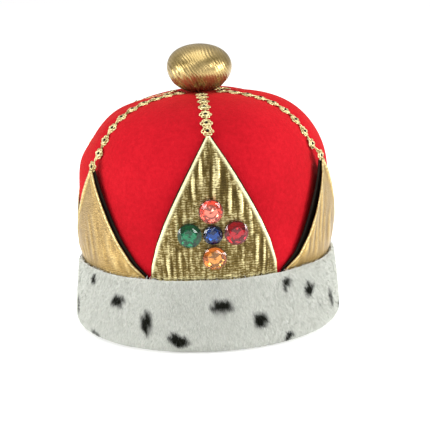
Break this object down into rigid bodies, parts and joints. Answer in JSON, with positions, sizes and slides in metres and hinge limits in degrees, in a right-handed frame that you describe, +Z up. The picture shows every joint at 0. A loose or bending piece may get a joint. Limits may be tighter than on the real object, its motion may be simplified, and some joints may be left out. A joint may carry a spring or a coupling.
{
  "type": "plush crown hat",
  "caption": "Soft crown hat to wear: padded red dome with gold cloth points, rosette braid, faceted stones and a stuffed knob, on a spotted white fur band.",
  "frame": {"origin": "centre of the rim, on the hat's axis, on the surface that it rests on", "axes": "+Z up along the hat's axis, -Y towards the wearer's front, where the tall point with the stones is, +X to the right of someone who faces that front"},
  "size_m": [0.2094, 0.2121, 0.2225],
  "materials": {
    "red_plush": "short velvet pile, bright red",
    "white_fur": "short white fur pile with soft black spots",
    "gold_lame": "metallic gold cloth, soft sheen, fine knit",
    "black_cloth": "matt black woven cloth",
    "gold_braid": "pale gold metallic thread",
    "pink_stone": "clear faceted acrylic, foil backed",
    "green_stone": "clear faceted acrylic, foil backed",
    "blue_stone": "clear faceted acrylic, foil backed",
    "red_stone": "clear faceted acrylic, foil backed",
    "amber_stone": "clear faceted acrylic, foil backed"
  },
  "bodies": {
    "root": {"dome": "red_plush", "fur_band": "white_fur", "knob": "gold_lame", "point_front": "gold_lame", "backing_front": "black_cloth", "braid_front": "gold_braid", "point_right": "gold_lame", "backing_right": "black_cloth", "braid_right": "gold_braid", "point_back_right": "gold_lame", "backing_back_right": "black_cloth", "braid_back_right": "gold_braid", "point_back": "gold_lame", "backing_back": "black_cloth", "braid_back": "gold_braid", "point_back_left": "gold_lame", "backing_back_left": "black_cloth", "braid_back_left": "gold_braid", "point_left": "gold_lame", "backing_left": "black_cloth", "braid_left": "gold_braid", "gem_pink": "pink_stone", "gem_green": "green_stone", "gem_blue": "blue_stone", "gem_red": "red_stone", "gem_amber": "amber_stone"}
  },
  "joints": []
}
